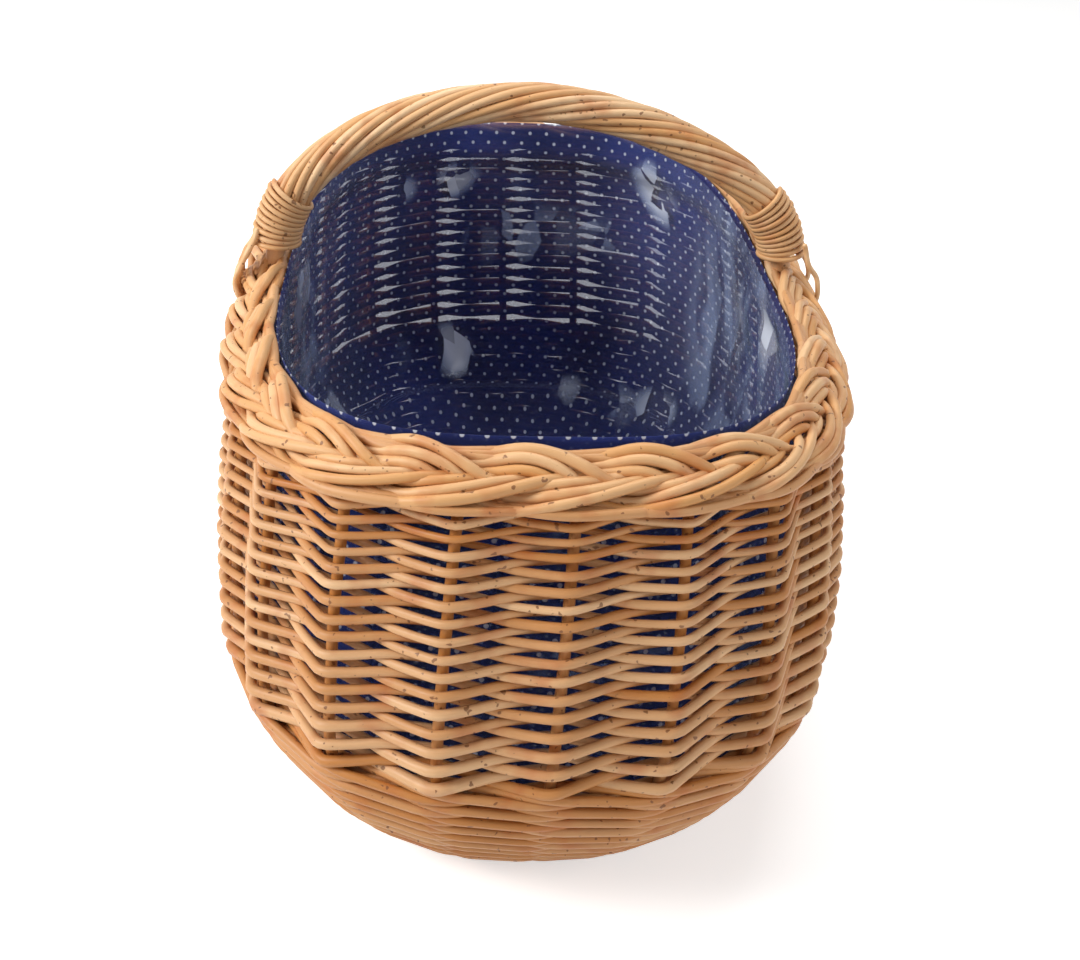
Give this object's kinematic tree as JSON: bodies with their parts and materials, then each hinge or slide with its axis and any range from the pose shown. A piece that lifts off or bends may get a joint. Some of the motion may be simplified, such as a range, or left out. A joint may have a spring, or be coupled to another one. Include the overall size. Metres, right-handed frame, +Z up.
{
  "type": "wicker shopping basket",
  "caption": "Rounded oblong willow shopping basket with an open woven side, plaited border, fixed roped bow handle, spotted cotton liner and clear film liner.",
  "frame": {"origin": "on the floor under the middle of the basket", "axes": "+Z up, X across the basket in the plane of the handle, Y along its length"},
  "size_m": [0.2924, 0.4683, 0.3029],
  "materials": {
    "buff_willow": "satin, peeled buff willow with fine lengthwise grain and small dark specks",
    "pale_willow": "satin, paler peeled willow",
    "spotted_cotton": "matt plain-weave cotton, deep blue with small white spots",
    "clear_film": "thin clear glossy film, softly crinkled"
  },
  "bodies": {
    "root": {"bottom_wale_1": "buff_willow", "bottom_wale_2": "buff_willow", "bottom_wale_3": "buff_willow", "border_plait_1": "pale_willow", "border_plait_2": "pale_willow", "border_plait_3": "pale_willow", "handle_bow": "buff_willow", "side_stake_01": "buff_willow", "side_stake_02": "buff_willow", "side_stake_03": "buff_willow", "side_stake_04": "buff_willow", "side_stake_05": "buff_willow", "side_stake_06": "buff_willow", "side_stake_07": "buff_willow", "side_stake_08": "buff_willow", "side_stake_09": "buff_willow", "side_stake_10": "buff_willow", "side_stake_11": "buff_willow", "side_stake_12": "buff_willow", "side_stake_13": "buff_willow", "side_stake_14": "buff_willow", "side_stake_15": "buff_willow", "side_stake_16": "buff_willow", "side_stake_17": "buff_willow", "side_stake_18": "buff_willow", "side_stake_19": "buff_willow", "side_stake_20": "buff_willow", "side_stake_21": "buff_willow", "side_stake_22": "buff_willow", "side_stake_23": "buff_willow", "side_stake_24": "buff_willow", "side_stake_25": "buff_willow", "side_stake_26": "buff_willow", "side_stake_27": "buff_willow", "side_stake_28": "buff_willow", "side_weaver_a_1": "buff_willow", "side_weaver_a_2": "buff_willow", "side_weaver_a_3": "buff_willow", "side_weaver_a_4": "buff_willow", "side_weaver_b_1": "buff_willow", "side_weaver_b_2": "buff_willow", "side_weaver_b_3": "buff_willow", "side_weaver_b_4": "buff_willow", "top_wale_outer": "buff_willow", "top_wale_inner": "buff_willow", "handle_roping_1": "pale_willow", "handle_roping_2": "pale_willow", "handle_roping_3": "pale_willow", "handle_roping_4": "pale_willow", "left_lapping": "pale_willow", "right_lapping": "pale_willow", "base_stick_1": "buff_willow", "base_stick_2": "buff_willow", "base_stick_3": "buff_willow", "base_stick_4": "buff_willow", "base_stick_5": "buff_willow", "base_weaver": "buff_willow", "fabric_liner": "spotted_cotton", "film_liner": "clear_film"}
  },
  "joints": []
}
